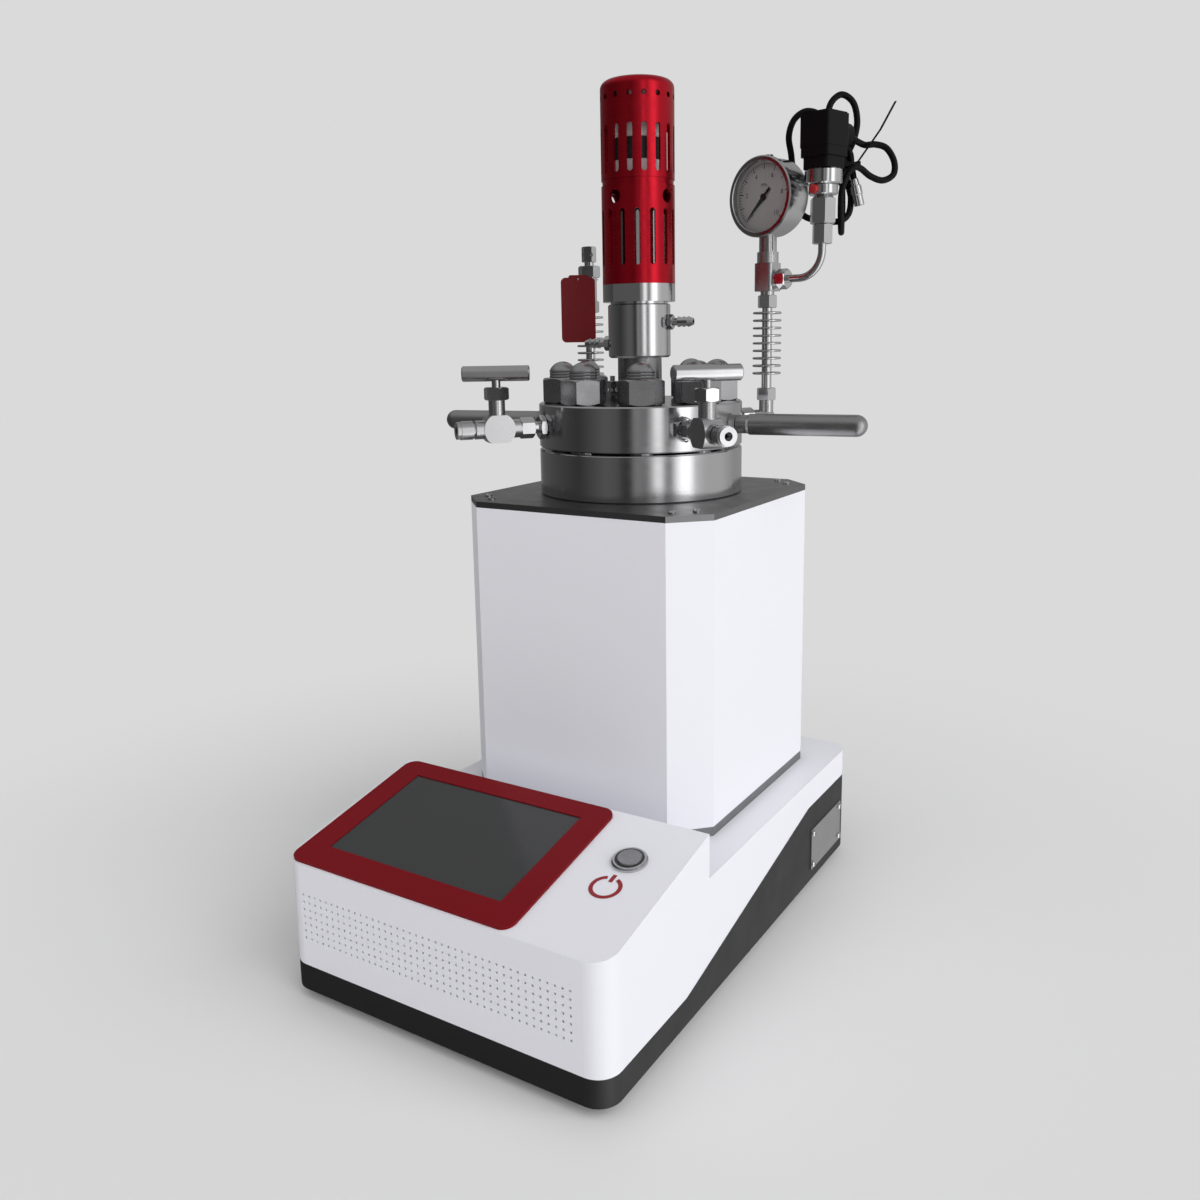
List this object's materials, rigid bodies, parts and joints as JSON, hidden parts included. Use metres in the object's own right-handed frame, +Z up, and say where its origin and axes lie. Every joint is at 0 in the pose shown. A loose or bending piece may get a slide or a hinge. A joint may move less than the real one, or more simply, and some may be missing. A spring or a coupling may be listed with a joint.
{
  "type": "hydrothermal reactor",
  "caption": "Stirred pressure vessel in a heated tower on a touch-screen console, with bolted lid, needle valves, gauge, pressure sensor and magnetic stirrer drive.",
  "frame": {"origin": "centre of the base on the floor", "axes": "+X to the operator's right, +Y to the back, +Z up; the sloping screen faces -Y"},
  "size_m": [0.3488, 0.4125, 0.6353],
  "materials": {
    "white_shell": "satin white powder coat",
    "dark_panel": "satin black powder coat",
    "foot_rubber": "moulded black rubber",
    "red_bezel": "red anodised, satin",
    "screen_glass": "black touch screen, off",
    "inner_plastic": "moulded black plastic",
    "button_steel": "polished ring and cap",
    "plate": "bare satin plate",
    "screw_steel": "bright machine screws",
    "frame_dark": "satin dark grey",
    "steel": "fine turned stainless steel",
    "steel_dark": "turned stainless steel, dark reflection",
    "steel_bright": "polished stainless steel",
    "insulation": "mineral fibre",
    "heater": "cast aluminium",
    "seal": "graphite seal",
    "gauge_steel": "polished steel case and ring",
    "dial": "pale grey dial",
    "pointer": "black pointer",
    "clear": "clear window",
    "black_plastic": "black moulded plastic",
    "cable": "black cable jacket",
    "red_tag": "dark red anodised tag, bare",
    "red_cover": "red anodised, satin, slotted",
    "motor": "silver motor caps",
    "motor_band": "black motor band",
    "magnets": "black coated magnet rotor"
  },
  "bodies": {
    "reactor": {"base_tray": "dark_panel", "rubber_feet": "foot_rubber", "console_shell": "white_shell", "screen_bezel": "red_bezel", "touch_screen": "screen_glass", "display_module": "inner_plastic", "button_housing": "button_steel", "nameplate": "plate", "panel_screws": "screw_steel", "mains_inlet": "black_plastic", "tower_frame": "frame_dark", "tower_shell": "white_shell", "top_plate": "steel", "insulation": "insulation", "heater_block": "heater", "vessel_body": "steel", "seal_ring": "seal", "lid": "steel", "studs": "steel_dark", "stud_nuts": "steel_bright", "handles": "steel_dark", "port_connectors": "steel_bright", "port_nuts": "steel_bright", "left_valve_body": "steel_bright", "right_valve_body": "steel_bright", "packing_nuts": "steel_bright", "column_elbows": "steel", "column_nuts": "steel_bright", "finned_tubes": "steel", "tee": "steel_bright", "gauge_case": "gauge_steel", "gauge_ring": "gauge_steel", "gauge_dial": "dial", "gauge_glass": "clear", "sensor_tube": "steel_bright", "sensor_adapter": "steel_bright", "sensor_body": "steel_bright", "sensor_plug": "black_plastic", "sensor_cable": "cable", "cable_tie": "black_plastic", "cable_connector": "steel_bright", "disc_holder": "steel", "red_tag": "red_tag", "tag_wire": "steel_bright", "lid_fittings": "steel_bright", "drive_neck": "steel_dark", "cooling_jacket": "steel", "hose_barbs": "steel_bright", "isolation_can": "steel", "drive_collar": "steel", "cover_lower": "red_cover", "cover_upper": "red_cover", "drive_motor": "motor", "motor_band": "motor_band"},
    "power_button": {"button_cap": "button_steel"},
    "left_handle": {"left_valve_handle": "steel_bright"},
    "right_handle": {"right_valve_handle": "steel_bright"},
    "pointer": {"gauge_pointer": "pointer"},
    "magnet_rotor": {"outer_magnets": "magnets"},
    "stirrer": {"stirrer": "steel"}
  },
  "joints": [
    {"name": "button_press", "type": "slide", "parent": "reactor", "child": "power_button", "axis": [0, 0.1947, -0.9809], "range_m": [0, 0.0015], "stiffness_N_per_m": 300, "springref_m": -0.003},
    {"name": "left_valve_turn", "type": "hinge", "parent": "reactor", "child": "left_handle", "pos_m": [-0.06981, -0.02264, 0.4235], "axis": [0, 0, 1], "range_deg": [0, 1080]},
    {"name": "right_valve_turn", "type": "hinge", "parent": "reactor", "child": "right_handle", "pos_m": [0.09264, 0.00019, 0.4235], "axis": [0, 0, 1], "range_deg": [0, 1080]},
    {"name": "gauge_needle", "type": "hinge", "parent": "reactor", "child": "pointer", "pos_m": [0.06758, 0.15969, 0.55555], "axis": [0.2756, 0.9613, 0], "range_deg": [0, 270], "stiffness_Nm_per_rad": 0.0001},
    {"name": "rotor_spin", "type": "hinge", "parent": "reactor", "child": "magnet_rotor", "pos_m": [0, 0.07, 0.52], "axis": [0, 0, 1], "continuous": true},
    {"name": "stirrer_spin", "type": "hinge", "parent": "reactor", "child": "stirrer", "pos_m": [0, 0.07, 0.52], "axis": [0, 0, 1], "continuous": true}
  ],
  "couplings": [
    {"joint": "stirrer_spin", "follows": "rotor_spin", "ratio": 1}
  ]
}
